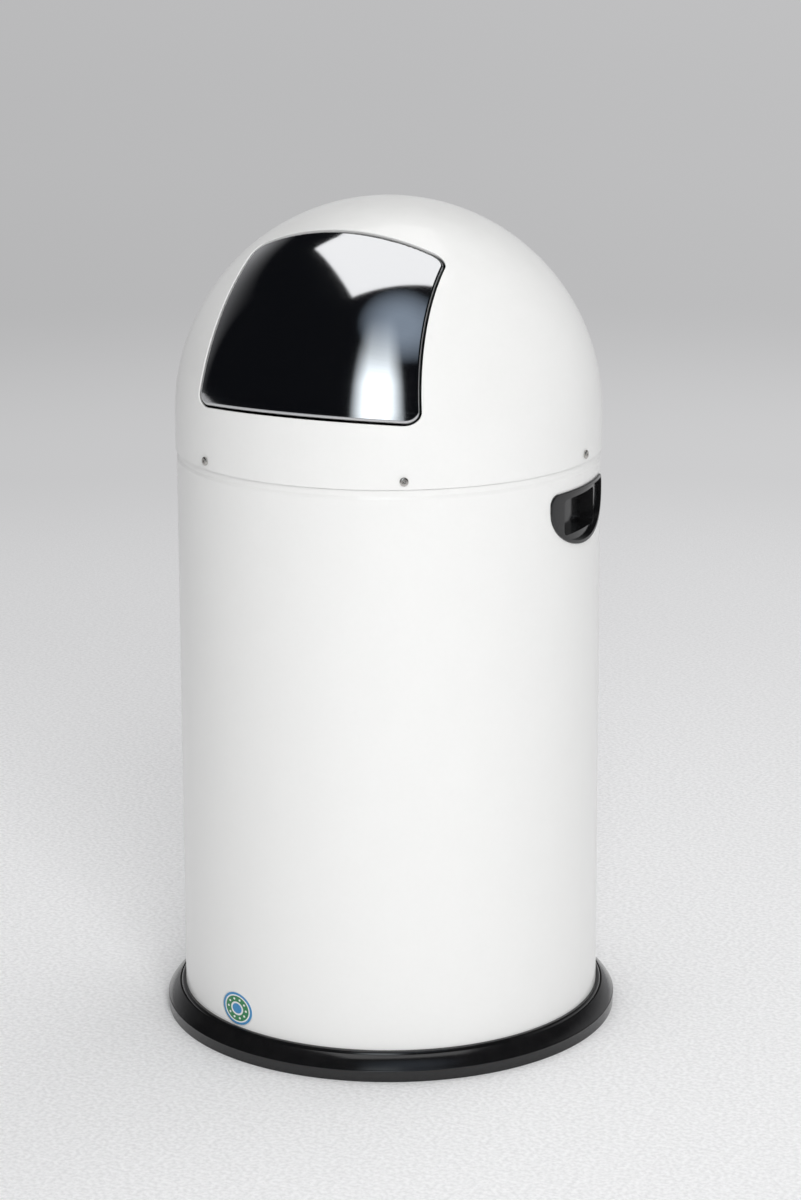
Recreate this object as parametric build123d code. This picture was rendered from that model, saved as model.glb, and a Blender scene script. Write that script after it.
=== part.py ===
from build123d import *
import os
from math import acos, asin, cos, degrees, radians, sin, sqrt, tan

# Swing-lid trash can: a round steel body on a black base ring, a steel dome that lifts off,
# a stainless flap that swings inwards on a sprung hinge, and a galvanised bucket inside.
# Millimetres, Z up, origin at the centre of the base on the floor. The flap faces -Y.

# Body
body_r = 185.0
body_wall = 0.9
body_foot_z = 5.0
rim_z = 511.5
neck_height = 8.0
neck_in = 0.7
floor_thick = 0.8
floor_flange = 12.0

# Base ring
ring_reach = 15.6
ring_height = 22.5
ring_wall = 2.4
ring_skirt = 8.8
ring_bead = 1.4
ring_bead_out = 0.4
ring_shoulder = 4.4
ring_slope_drop = 2.2
ring_lip = 4.2
ring_groove_wide = 1.4
ring_groove_deep = 1.0
ring_foot_in = 7.0
ring_shelf = 2.4

# Finger grips
grip_width = 107.0
grip_height = 50.0
grip_below_rim = 19.0
grip_corner_r = 9.0
grip_straight = 15.0
grip_proud = 1.8
grip_edge_r = 0.8
grip_rim = 3.2
grip_land = 1.6
grip_cut_gap = 0.4
grip_dish = 3.6
grip_wall = 1.6
pocket_width = 62.0
pocket_height = 31.0
pocket_depth = 12.0
pocket_corner_r = 4.0
pocket_below_top = 8.0

# Dome
dome_proud = 1.0
dome_wall = 0.9
dome_seam = 0.5
dome_skirt = 30.5

# Opening in the dome: turns of its low and high edge above level, and half widths across it
open_low = 8.0
open_high = 64.5
open_half_low = 104.6
open_half_high = 88.0
open_corner_r = 13.0
open_lip = 1.8
open_edge_r = 0.7

# Flap
flap_gap = 1.7
flap_recess = 0.4
flap_wall = 0.8
flap_bend_r = 3.0
flap_skirt = 6.0

# Hinge
hinge_turn = 66.0
hinge_depth = 38.0
pin_r = 3.0
pin_past = 3.0
pin_fit = 0.05
bracket_past_opening = 8.0
bracket_thick = 2.0
bracket_foot = 16.0
bracket_foot_thick = 1.4
bracket_foot_turn = 9.0
bracket_foot_spread = 6.0
bracket_boss_r = 7.0
arm_inside_opening = 11.0
arm_thick = 2.0
arm_foot = 15.0
arm_foot_thick = 1.0
arm_foot_low = 34.0
arm_foot_high = 50.0
arm_boss_r = 6.5
hub_r = 5.0
hub_length = 6.0
tail_length = 17.0
tail_height = 6.0
clip_out = 2.4
clip_thick = 0.8
clip_groove = 0.5
clip_play = 0.2
clip_mouth = 4.4

# Return springs
spring_wire_r = 0.75
spring_turns = 4
spring_pitch = 2.0
spring_clear = 0.9
spring_reach = 10.5
spring_bend_r = 1.6
spring_hole_gap = 0.2
spring_arm_turn = 12.0
spring_bracket_turn = 185.0
spring_start_gap = 1.0
spring_past = 1.0

# Stop buffers
buffer_r = 3.5
buffer_height = 3.0
buffer_gap = 0.3
tab_thick = 2.0
tab_depth = 9.0
tab_back = 7.5
tab_past = 1.0

# Dome collar
collar_wall = 3.0
collar_top = 18.0
collar_drop = 15.0
collar_side_gap = 0.8
collar_rest_gap = 0.3

# Dome screws and nuts
screw_count = 6
screw_up = 7.0
screw_r = 2.0
screw_hole_gap = 0.1
screw_head_r = 3.8
screw_head = 2.0
screw_head_edge_r = 1.2
screw_past_nut = 1.0
nut_across = 7.0
nut_thick = 3.2
nut_fit = 0.02
boss_flat_r = 5.0
boss_flat_in = 0.4

# Liner
liner_side_gap = 6.0
liner_taper = 11.0
liner_wall = 0.8
liner_height = 440.0
liner_bead_r = 2.6
liner_stand = 0.3
liner_base_up = 8.0
liner_rib_down = 60.0
liner_rib_height = 10.0
liner_rib_out = 1.6

# Ears and bail of the liner
bail_wire_r = 2.5
bail_gap = 0.3
bail_fit = 0.1
bail_bend_r = 3.0
bail_bend_turn = 5.0
bail_past = 2.0
bail_head_r = 4.0
bail_head = 1.4
bail_grip_r = 7.0
bail_grip_turn = 32.0
bail_grip_fit = 0.2
ear_width = 26.0
ear_thick = 1.6
ear_gap = 0.6
ear_above = 8.0
ear_joggle_low = 13.0
ear_joggle_high = 6.0
ear_below = 34.0
ear_corner_r = 7.0
ear_rivet_r = 2.2
ear_rivet_head_r = 4.0
ear_rivet_head = 1.3
ear_rivet_spacing = 14.0
ear_rivet_down = 24.0

# Places worked out from the sizes above
dome_edge_z = rim_z + dome_seam
sphere_z = dome_edge_z + dome_skirt
body_in_r = body_r - body_wall
ring_floor_r = body_r + ring_reach
dome_r = body_r + dome_proud
mouth_r = body_in_r - neck_in
dome_in_r = dome_r - dome_wall
flap_r = dome_r - flap_recess
flap_in_r = flap_r - flap_wall
floor_z = body_foot_z + floor_thick
grip_top_z = rim_z - grip_below_rim
grip_rim_r = body_r + grip_proud
dish_r = grip_rim_r - grip_dish
pocket_r = dish_r - pocket_depth
screw_z = dome_edge_z + screw_up
boss_x = dome_in_r - collar_wall + boss_flat_in
hinge_r = dome_r - hinge_depth
hinge_y = -hinge_r * cos(radians(hinge_turn))
hinge_z = sphere_z + hinge_r * sin(radians(hinge_turn))
open_mean = (open_low + open_high) / 2
open_half_turn = (open_high - open_low) / 2
bracket_x = open_half_high + bracket_past_opening
arm_x = open_half_high - arm_inside_opening
liner_rim_r = pocket_r - grip_wall - liner_side_gap - liner_bead_r
liner_foot_r = liner_rim_r - liner_taper
liner_z = floor_z + liner_stand
liner_top_z = liner_z + liner_height
bail_z = liner_top_z + bail_gap + bail_wire_r
ear_y = liner_rim_r + liner_bead_r + ear_gap
tab_top_z = hinge_z - tail_height / 2 - buffer_gap - buffer_height
bracket_out_x = bracket_x + bracket_thick
pin_half = bracket_out_x + pin_past
spring_r = pin_r + spring_clear + spring_wire_r
foot_turn = hinge_turn + bracket_foot_turn


# Small tools for the shapes below
def ring_of(points):
    """A body of revolution about Z from a closed outline of (radius, height) points."""
    return revolve(make_face(Polyline(*[(r, 0, z) for r, z in points], close=True)), Axis.Z)


def tube(r_out, r_in, low, high):
    return ring_of([(r_in, low), (r_out, low), (r_out, high), (r_in, high)])


def ball(radius):
    return Pos(0, 0, sphere_z) * Sphere(radius)


def bar_x(y, z, radius, low, high):
    """A round bar along X from station low to station high."""
    return Pos((low + high) / 2, y, z) * Rot(0, 90, 0) * Cylinder(radius, high - low)


def plate_x(outline, low, high):
    """A plate square to X. Its outline is drawn with Y to the right and Z up."""
    plane = Plane(origin=(low, 0, 0), x_dir=(0, 1, 0), z_dir=(1, 0, 0))
    return extrude(plane * outline, high - low)


def polar(turn, radius):
    """The (y, z) of a point at a turn above level, seen from the side, about the dome's centre."""
    return (-radius * cos(radians(turn)), sphere_z + radius * sin(radians(turn)))


def sector(low_turn, high_turn, x_low, x_high):
    """A wedge about the dome's level axis, wide enough to trim a patch of a ball."""
    centre = (0.0, sphere_z)
    corners = [centre, polar(low_turn, 2 * dome_r), polar(high_turn, 2 * dome_r)]
    return plate_x(make_face(Polyline(*corners, close=True)), x_low, x_high)


def hull_of(*shapes):
    edges = [edge for shape in shapes for edge in shape.edges()]
    return make_hull(edges)


def spot(y, z, radius):
    return Pos(y, z) * Circle(radius)


def twin(shape):
    """The same piece on the can's left side."""
    return mirror(shape, about=Plane.YZ)


# Body shell: a plain wall that necks in under the rim, with a D cut-out behind each grip
def grip_outline(inset):
    """The D: a straight top with round corners over half an ellipse."""
    half = grip_width / 2 - inset
    band_low = grip_top_z - grip_straight
    band_high = grip_top_z - inset
    band = Pos(0, (band_high + band_low) / 2) * Rectangle(2 * half, band_high - band_low)
    band = fillet(band.vertices().sort_by(Axis.Y)[-2:], grip_corner_r - inset)
    drop = grip_height - grip_straight - inset
    lower = Pos(0, band_low - drop / 2) * Rectangle(2 * half, drop)
    return band + (Pos(0, band_low) * Ellipse(half, drop) & lower)


def pocket_outline(grow):
    centre = grip_top_z - pocket_below_top - pocket_height / 2
    block = Rectangle(pocket_width + 2 * grow, pocket_height + 2 * grow)
    return Pos(0, centre) * fillet(block.vertices(), pocket_corner_r + grow)


def body_shell():
    straight_z = rim_z - neck_height
    neck_z = straight_z + 4 * neck_in
    shell = ring_of(
        [
            (body_in_r, body_foot_z),
            (body_r, body_foot_z),
            (body_r, straight_z),
            (body_r - neck_in, neck_z),
            (body_r - neck_in, rim_z),
            (mouth_r, rim_z),
            (mouth_r, neck_z),
            (body_in_r, straight_z),
        ]
    )
    cut = plate_x(grip_outline(grip_land), -body_r - 1, body_r + 1)
    return shell - cut


def body_floor():
    flange = tube(body_in_r, body_in_r - floor_thick, body_foot_z, floor_z + floor_flange)
    disc = Pos(0, 0, body_foot_z + floor_thick / 2) * Cylinder(body_in_r - floor_thick / 2, floor_thick)
    return flange + disc


# Base ring: an upright skirt, a bead, a rounded slope, a groove and a lip round the body
def base_ring():
    lip_r = body_r + ring_lip
    slope_r = lip_r + ring_groove_wide
    slope_z = ring_height - ring_slope_drop
    bead_z = ring_skirt + ring_bead
    shoulder = (ring_floor_r - ring_shoulder, ring_height - ring_slope_drop - ring_shoulder)
    inner_r = ring_floor_r - ring_wall
    shelf_r = body_r + ring_wall
    shelf_z = body_foot_z - ring_shelf
    roof_z = slope_z - 2 * ring_wall
    skirt = Polyline((inner_r, 0), (ring_floor_r, 0), (ring_floor_r, ring_skirt))
    bead = ThreePointArc(
        (ring_floor_r, ring_skirt),
        (ring_floor_r + ring_bead_out, ring_skirt + ring_bead / 2),
        (ring_floor_r, bead_z),
    )
    slope = ThreePointArc((ring_floor_r, bead_z), shoulder, (slope_r, slope_z))
    groove = Polyline(
        (slope_r, slope_z),
        (lip_r + ring_groove_wide / 2, slope_z - ring_groove_deep),
        (lip_r, slope_z),
    )
    lip = ThreePointArc(
        (lip_r, slope_z),
        (lip_r - ring_lip * 0.2, ring_height - ring_slope_drop * 0.3),
        (lip_r - ring_lip * 0.6, ring_height),
    )
    inside = Polyline(
        (lip_r - ring_lip * 0.6, ring_height),
        (body_r, ring_height),
        (body_r, body_foot_z),
        (body_r - ring_foot_in, body_foot_z),
        (body_r - ring_foot_in, shelf_z),
        (shelf_r, shelf_z),
        (shelf_r, roof_z),
        (slope_r, roof_z),
        (inner_r, ring_skirt),
        (inner_r, 0),
    )
    outline = make_face(skirt + bead + slope + groove + lip + inside)
    return revolve(Plane.XZ * outline, Axis.Z)


# Finger grip: a rim plate that follows the body, a shallow dish and a deeper finger pocket
def grip():
    low = grip_top_z - grip_height - 1
    high = grip_top_z + 1

    def between(outline, r_low, r_high):
        return plate_x(outline, 0, body_r + 20) & tube(r_high, r_low, low, high)

    rim = between(grip_outline(0), body_r, grip_rim_r)
    rim_edges = rim.edges().filter_by(lambda edge: on_radius(edge, grip_rim_r))
    rim = fillet(rim_edges, grip_edge_r)
    tub = between(grip_outline(grip_land + grip_cut_gap), dish_r - grip_wall, body_r)
    pocket = between(pocket_outline(grip_wall), pocket_r - grip_wall, dish_r)
    dish_cut = between(grip_outline(grip_rim), dish_r, grip_rim_r + 1)
    pocket_cut = between(pocket_outline(0), pocket_r, grip_rim_r + 1)
    return rim + tub + pocket - dish_cut - pocket_cut


def on_radius(edge, radius):
    middle = edge @ 0.5
    return abs(sqrt(middle.X**2 + middle.Y**2) - radius) < 0.05


# The opening's shape, shared by the dome's edge and the flap
def opening_half(z, inset):
    """Half width of the opening at a height: the sides lean in towards the top."""
    low_z = sphere_z + dome_r * sin(radians(open_low))
    high_z = sphere_z + dome_r * sin(radians(open_high))
    lean = (open_half_low - open_half_high) / (high_z - low_z)
    return open_half_low - lean * (z - low_z) - inset


def opening_section(distance, inset):
    """The opening's outline at a distance from the dome's centre, along its middle direction."""
    mean = radians(open_mean)
    up = distance * tan(radians(open_half_turn) - inset / dome_r)
    middle_z = sphere_z + distance * sin(mean)
    low_half = opening_half(middle_z - up * cos(mean), inset)
    high_half = opening_half(middle_z + up * cos(mean), inset)
    corners = [(-low_half, -up), (low_half, -up), (high_half, up), (-high_half, up)]
    flat = make_face(Polyline(*corners, close=True))
    rounded = fillet(flat.vertices(), open_corner_r - inset)
    direction = (0, -cos(mean), sin(mean))
    origin = (0, distance * direction[1], middle_z)
    return Plane(origin=origin, x_dir=(1, 0, 0), z_dir=direction) * rounded


def opening_block(inset):
    """A block with the opening's outline, drawn in by inset, that passes through the dome."""
    near = opening_section(0.6 * dome_r, inset)
    far = opening_section(1.1 * dome_r, inset)
    return loft([near, far], ruled=True)


def ball_edges(shape, radius):
    """The edges of a shape that lie on a ball about the dome's centre."""
    centre = Vector(0, 0, sphere_z)
    return shape.edges().filter_by(lambda edge: abs((edge @ 0.5 - centre).length - radius) < 0.02)


# Dome: a skirt and a half ball, the opening with its turned-in lip, and the screw holes
def dome():
    foot = [(dome_r, dome_edge_z), (dome_in_r, dome_edge_z)]
    outline = Polyline((dome_r, sphere_z), *foot, (dome_in_r, sphere_z))
    inner = CenterArc((0, sphere_z), dome_in_r, 0, 90)
    top = Line((0, sphere_z + dome_in_r), (0, sphere_z + dome_r))
    outer = CenterArc((0, sphere_z), dome_r, 0, 90)
    shell = revolve(Plane.XZ * make_face(outline + inner + top + outer), Axis.Z)
    lip_block = opening_block(-dome_wall) - opening_block(0)
    lip = lip_block & (ball(dome_r) - ball(dome_in_r - open_lip))
    shell = shell - opening_block(-dome_wall) + lip
    shell = fillet(ball_edges(shell, dome_r), open_edge_r)
    return shell - screw_holes()


def around(shape):
    """Copies of a piece on +X, one at each dome screw."""
    step = 360 / screw_count
    return [Rot(0, 0, step / 2 - 90 + step * index) * shape for index in range(screw_count)]


def screw_holes():
    hole = bar_x(0, screw_z, screw_r + screw_hole_gap, dome_r - 12, dome_r + 2)
    return Compound(children=around(hole))


# Collar: carries the dome on the body's rim, its lower wall drops into the mouth
def dome_collar():
    drop_r = mouth_r - collar_side_gap
    ledge_z = rim_z + collar_rest_gap
    top_in_r = dome_in_r - collar_wall
    low_in_r = drop_r - collar_wall
    ring = ring_of(
        [
            (low_in_r, rim_z - collar_drop),
            (drop_r, rim_z - collar_drop),
            (drop_r, ledge_z),
            (dome_in_r, ledge_z),
            (dome_in_r, dome_edge_z + collar_top),
            (top_in_r, dome_edge_z + collar_top),
            (top_in_r, ledge_z + collar_wall),
            (low_in_r, ledge_z + collar_wall / 2),
        ]
    )
    flat = bar_x(0, screw_z, boss_flat_r, boss_x - 10, boss_x)
    return ring - screw_holes() - Compound(children=around(flat))


def dome_screws():
    head = bar_x(0, screw_z, screw_head_r, dome_r, dome_r + screw_head)
    rim = head.edges().filter_by(GeomType.CIRCLE).sort_by(Axis.X)[-1]
    head = fillet(rim, screw_head_edge_r)
    shank = bar_x(0, screw_z, screw_r, boss_x - nut_thick - screw_past_nut, dome_r)
    return Compound(children=around(head + shank))


def dome_nuts():
    plane = Plane(origin=(boss_x - nut_thick, 0, screw_z), x_dir=(0, 1, 0), z_dir=(1, 0, 0))
    hexagon = plane * RegularPolygon(nut_across / 2, 6, major_radius=False)
    nut = extrude(hexagon, nut_thick)
    bore = bar_x(0, screw_z, screw_r + nut_fit, boss_x - 2 * nut_thick, boss_x + 1)
    return Compound(children=around(nut - bore))


# Flap: a pressed ball panel whose edge turns in through a round bend to a short skirt
def flap_plug(inset, r_out, bend_r):
    block = opening_block(inset) & (ball(r_out) - ball(flap_r - flap_skirt))
    return fillet(ball_edges(block, r_out), bend_r)


def flap():
    outside = flap_plug(flap_gap, flap_r, flap_bend_r)
    block = opening_block(flap_gap + flap_wall) & (ball(flap_in_r) - ball(flap_r - flap_skirt - 1))
    inside = fillet(ball_edges(block, flap_in_r), flap_bend_r - flap_wall)
    return outside - inside


# Hinge: a bracket each side under the dome, a pin through both, arms on the flap
def tab_outline():
    centre_y = hinge_y + tab_back + tab_depth / 2
    return Pos(centre_y, tab_top_z - tab_thick / 2) * Rectangle(tab_depth, tab_thick)


def hinge_bracket():
    low = polar(foot_turn - bracket_foot_spread, dome_r)
    high = polar(foot_turn + bracket_foot_spread, dome_r)
    foot_line = make_face(Polyline(low, high, (hinge_y, hinge_z), close=True))
    blank = hull_of(spot(hinge_y, hinge_z, bracket_boss_r), foot_line, tab_outline())
    plate = plate_x(blank, bracket_x, bracket_out_x) & ball(dome_in_r)
    turns = (foot_turn - bracket_foot_spread, foot_turn + bracket_foot_spread)
    foot = sector(*turns, bracket_x, bracket_x + bracket_foot)
    foot = foot & (ball(dome_in_r) - ball(dome_in_r - bracket_foot_thick))
    tab = plate_x(tab_outline(), arm_x - tab_past - buffer_r, bracket_x)
    hole = bar_x(hinge_y, hinge_z, pin_r + pin_fit, bracket_x - 1, bracket_out_x + 1)
    end = spring_end(spring_bracket_turn)
    catch = bar_x(end[0], end[1], spring_wire_r + spring_hole_gap, bracket_x - 1, bracket_out_x + 1)
    return plate + foot + tab - hole - catch


def clip_x():
    return bracket_out_x + clip_play


def hinge_pin():
    pin = bar_x(hinge_y, hinge_z, pin_r, -pin_half, pin_half)
    neck = bar_x(hinge_y, hinge_z, pin_r + 1, clip_x(), clip_x() + clip_thick)
    neck -= bar_x(hinge_y, hinge_z, pin_r - clip_groove, clip_x(), clip_x() + clip_thick)
    return pin - neck - twin(neck)


def pin_clips():
    disc = bar_x(hinge_y, hinge_z, pin_r + clip_out, clip_x(), clip_x() + clip_thick)
    disc -= bar_x(hinge_y, hinge_z, pin_r - clip_groove, clip_x(), clip_x() + clip_thick)
    mouth = Pos(hinge_y - pin_r - clip_out, hinge_z) * Rectangle(2 * (pin_r + clip_out), clip_mouth)
    clip = disc - plate_x(mouth, clip_x(), clip_x() + clip_thick)
    return Compound(children=[clip, twin(clip)])


def stop_buffer():
    low = tab_top_z + buffer_height / 2
    centre_y = hinge_y + tab_back + tab_depth / 2
    return Pos(arm_x + arm_thick / 2, centre_y, low) * Cylinder(buffer_r, buffer_height)


def flap_arm():
    boss = spot(hinge_y, hinge_z, arm_boss_r)
    low = polar(arm_foot_low, dome_r)
    high = polar(arm_foot_high, dome_r)
    blade = hull_of(boss, make_face(Polyline(low, high, (hinge_y, hinge_z), close=True)))
    tail = Pos(hinge_y + tail_length / 2, hinge_z) * Rectangle(tail_length, tail_height)
    plate = plate_x(blade + tail, arm_x, arm_x + arm_thick) & ball(flap_in_r)
    foot = sector(arm_foot_low, arm_foot_high, arm_x - arm_foot, arm_x + arm_thick)
    foot = foot & (ball(flap_in_r) - ball(flap_in_r - arm_foot_thick))
    middle = arm_x + arm_thick / 2
    hub = bar_x(hinge_y, hinge_z, hub_r, middle - hub_length / 2, middle + hub_length / 2)
    bore = bar_x(hinge_y, hinge_z, pin_r + pin_fit, arm_x - 10, arm_x + 10)
    end = spring_end(spring_arm_turn)
    catch = bar_x(end[0], end[1], spring_wire_r + spring_hole_gap, arm_x - 1, arm_x + arm_thick + 1)
    return plate + foot + hub - bore - catch


# Return spring: an unbroken wire, coiled on the pin, with an end in the arm and one in the bracket
def spring_end(turn):
    """The (y, z) of a wire end, at its reach from the pin and a turn up from the front."""
    return (hinge_y - spring_reach * cos(radians(turn)), hinge_z + spring_reach * sin(radians(turn)))


def coil_point(turn, x_start, turn_start):
    x = x_start + spring_pitch * (turn - turn_start) / 360
    return Vector(
        x,
        hinge_y - spring_r * cos(radians(turn)),
        hinge_z + spring_r * sin(radians(turn)),
    )


def coil_tangent(turn):
    rise = spring_pitch / radians(360)
    return Vector(rise, spring_r * sin(radians(turn)), spring_r * cos(radians(turn))).normalized()


def biarc(start, start_dir, end, end_dir):
    """Two arcs that leave start and reach end in the given directions."""
    across = end - start
    both = start_dir + end_dir
    turn = 2 * (1 - start_dir.dot(end_dir))
    reach = across.dot(both)
    arm = (-reach + sqrt(reach**2 + turn * across.dot(across))) / turn
    middle = (start + end + (start_dir - end_dir) * arm) * 0.5
    middle_dir = (end - start - both * arm).normalized()
    return [
        TangentArc(start, middle, tangent=start_dir),
        TangentArc(middle, end, tangent=middle_dir),
    ]


def spring():
    lead = degrees(acos(spring_r / spring_reach))
    first = spring_arm_turn + lead
    last = spring_bracket_turn - lead + 360 * spring_turns
    x_start = arm_x + arm_thick / 2 + hub_length / 2 + spring_start_gap
    steps = round((last - first) / 90)
    turns = [first + (last - first) * index / steps for index in range(steps + 1)]
    edges = []
    for low, high in zip(turns, turns[1:]):
        ends = (coil_point(low, x_start, first), coil_point(high, x_start, first))
        edges += biarc(ends[0], coil_tangent(low), ends[1], coil_tangent(high))
    leg = sqrt(spring_reach**2 - spring_r**2)
    start = coil_point(first, x_start, first)
    end = coil_point(last, x_start, first)
    start_corner = start - coil_tangent(first) * leg
    end_corner = end + coil_tangent(last) * leg
    arm_end = Vector(arm_x - spring_past, start_corner.Y, start_corner.Z)
    bracket_end = Vector(bracket_out_x + spring_past, end_corner.Y, end_corner.Z)
    first_leg = FilletPolyline(arm_end, start_corner, start, radius=spring_bend_r)
    last_leg = FilletPolyline(end, end_corner, bracket_end, radius=spring_bend_r)
    path = Wire(first_leg.edges() + ShapeList(edges) + last_leg.edges())
    section = Plane(origin=arm_end, z_dir=(1, 0, 0)) * Circle(spring_wire_r)
    return sweep(section, path=path)


# Liner: a tapered bucket with a wired rim, a swaged rib and a raised base
def liner_r(z):
    """Inner radius of the liner's wall at a height."""
    share = (z - liner_z) / liner_height
    return liner_foot_r + (liner_rim_r - liner_bead_r - liner_foot_r) * share


def liner():
    rib_z = liner_top_z - liner_rib_down
    rib_half = liner_rib_height / 2
    wall_top_z = liner_top_z - liner_bead_r
    heights = [liner_z, rib_z - rib_half, rib_z, rib_z + rib_half, wall_top_z]
    rib_out = [0, 0, liner_rib_out, 0, 0]
    inner = [(liner_r(z) + out, z) for z, out in zip(heights, rib_out)]
    outer = [(r + liner_wall, z) for r, z in reversed(inner)]
    wall = ring_of(inner + outer)
    bead = Pos(0, 0, liner_top_z - liner_bead_r) * Torus(liner_rim_r, liner_bead_r)
    bucket = wall + bead
    for shank in ear_shanks():
        bucket -= shank
        bucket -= mirror(shank, about=Plane.XZ)
    return bucket


def liner_base():
    top_z = liner_z + liner_base_up
    plate = ring_of(
        [
            (0, top_z),
            (liner_r(top_z), top_z),
            (liner_r(top_z), top_z + liner_wall),
            (0, top_z + liner_wall),
        ]
    )
    flange = ring_of(
        [
            (liner_r(liner_z) - liner_wall, liner_z),
            (liner_r(liner_z), liner_z),
            (liner_r(top_z), top_z),
            (liner_r(top_z) - liner_wall, top_z),
        ]
    )
    return plate + flange


# Ears: joggled plates riveted under the rim, front and back, that hold the bail's ends
def liner_ear():
    foot_y = ear_foot_y()
    low_z = liner_top_z - ear_below
    side = Polyline(
        (foot_y, low_z),
        (foot_y, liner_top_z - ear_joggle_low),
        (ear_y, liner_top_z - ear_joggle_high),
        (ear_y, liner_top_z + ear_above),
        (ear_y + ear_thick, liner_top_z + ear_above),
        (ear_y + ear_thick, liner_top_z - ear_joggle_high - ear_thick / 2),
        (foot_y + ear_thick, liner_top_z - ear_joggle_low - ear_thick / 2),
        (foot_y + ear_thick, low_z),
        close=True,
    )
    strip = plate_x(make_face(side), -ear_width / 2, ear_width / 2)
    front = Rectangle(ear_width, ear_above + ear_below)
    front = fillet(front.vertices(), ear_corner_r)
    middle_z = liner_top_z + (ear_above - ear_below) / 2
    shape = extrude(Plane.XZ * Pos(0, middle_z) * front, -2 * liner_rim_r)
    hole = Pos(0, ear_y, bail_z) * Rot(90, 0, 0) * Cylinder(bail_wire_r + bail_fit, 8 * ear_thick)
    ear = strip & shape
    ear -= hole
    for shank in ear_shanks():
        ear -= shank
    return ear


def ear_foot_y():
    """Where the ear's foot lies against the outside of the wall."""
    return liner_r(liner_top_z - ear_joggle_low) + liner_wall


def ear_back_y():
    """Where a rivet's inner head clears the round inside of the wall."""
    wall = liner_r(liner_top_z - ear_rivet_down - ear_rivet_head_r)
    return sqrt(wall**2 - (ear_rivet_spacing / 2 + ear_rivet_head_r) ** 2)


def bar_y(x, z, radius, low, high):
    """A round bar along Y from station low to station high."""
    return Pos(x, (low + high) / 2, z) * Rot(90, 0, 0) * Cylinder(radius, high - low)


def ear_rivet_places():
    return [(side * ear_rivet_spacing / 2, liner_top_z - ear_rivet_down) for side in (-1, 1)]


def ear_shanks():
    low = ear_back_y()
    high = ear_foot_y() + ear_thick
    return [bar_y(x, z, ear_rivet_r, low, high) for x, z in ear_rivet_places()]


def ear_rivets():
    low = ear_back_y()
    high = ear_foot_y() + ear_thick
    rivets = []
    for (x, z), shank in zip(ear_rivet_places(), ear_shanks()):
        head = bar_y(x, z, ear_rivet_head_r, high, high + ear_rivet_head)
        back = bar_y(x, z, ear_rivet_head_r, low - ear_rivet_head, low)
        rivets.append(shank + head + back)
    return Compound(children=rivets + [mirror(rivet, about=Plane.XZ) for rivet in rivets])


# Bail: a wire half ring that lies on the rim, with its ends through the ears
def bail_plane():
    """The bail's own plane: it leans up a little, so that its grip rests on the rim."""
    rise = bail_grip_r + bail_gap - (bail_z - liner_top_z)
    lean = degrees(asin(rise / liner_rim_r))
    return Pos(0, 0, bail_z) * Rot(0, -lean, 0)


def bail():
    end_y = ear_y + ear_thick + bail_past
    turn = radians(bail_bend_turn)
    arc_start = (liner_rim_r * sin(turn), -liner_rim_r * cos(turn))
    corner = (0, arc_start[1] - arc_start[0] * tan(turn))
    low = FilletPolyline((0, -end_y), corner, arc_start, radius=bail_bend_r)
    arc = CenterArc((0, 0), liner_rim_r, bail_bend_turn - 90, 180 - 2 * bail_bend_turn)
    high = mirror(low, about=Plane.XZ)
    path = Wire(low.edges() + arc.edges() + high.edges())
    section = Plane(origin=(0, -end_y, 0), z_dir=(0, 1, 0)) * Circle(bail_wire_r)
    wire = sweep(section, path=path)
    for side in (-1, 1):
        head = Pos(0, side * (end_y + bail_head / 2), 0) * Rot(90, 0, 0) * Cylinder(bail_head_r, bail_head)
        wire += head
    return bail_plane() * wire


def bail_grip():
    ring = Circle(bail_grip_r) - Circle(bail_wire_r + bail_grip_fit)
    section = Plane(origin=(liner_rim_r, 0, 0), x_dir=(1, 0, 0), z_dir=(0, -1, 0)) * ring
    roll = revolve(section, Axis.Z, bail_grip_turn)
    return bail_plane() * Rot(0, 0, -bail_grip_turn / 2) * roll


# The pieces, each written to a file of its own
def export(name, shape):
    export_step(shape, os.path.join("parts", name + ".step"))
    print(name, len(shape.solids()), "solids", round(shape.volume / 1000, 2), "cm3", flush=True)


single = {
    "body_shell": body_shell,
    "body_floor": body_floor,
    "base_ring": base_ring,
    "dome": dome,
    "dome_collar": dome_collar,
    "dome_screws": dome_screws,
    "dome_nuts": dome_nuts,
    "hinge_pin": hinge_pin,
    "pin_clips": pin_clips,
    "flap": flap,
    "liner": liner,
    "liner_base": liner_base,
    "liner_ear_rivets": ear_rivets,
    "bail": bail,
    "bail_grip": bail_grip,
}
paired = {
    "grip": grip,
    "hinge_bracket": hinge_bracket,
    "stop_buffer": stop_buffer,
    "flap_arm": flap_arm,
    "return_spring": spring,
}
os.makedirs("parts", exist_ok=True)
for name, make in single.items():
    export(name, make())
for name, make in paired.items():
    right = make()
    export(name + "_right", right)
    export(name + "_left", twin(right))
back_ear = liner_ear()
export("liner_ear_back", back_ear)
export("liner_ear_front", mirror(back_ear, about=Plane.XZ))
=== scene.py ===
# %% [markdown]
# # A swing-lid trash can, dressed for its picture
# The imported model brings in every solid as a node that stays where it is. This lesson puts a
# camera, a pale studio and real finishes round it. It also makes the pieces that need finer shapes
# than the solids have: screws with a cross recess, threaded nuts, the foot ring and a printed label.

import math
from functools import partial

import bmesh
import bpy
from mathutils import Matrix, Vector


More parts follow.
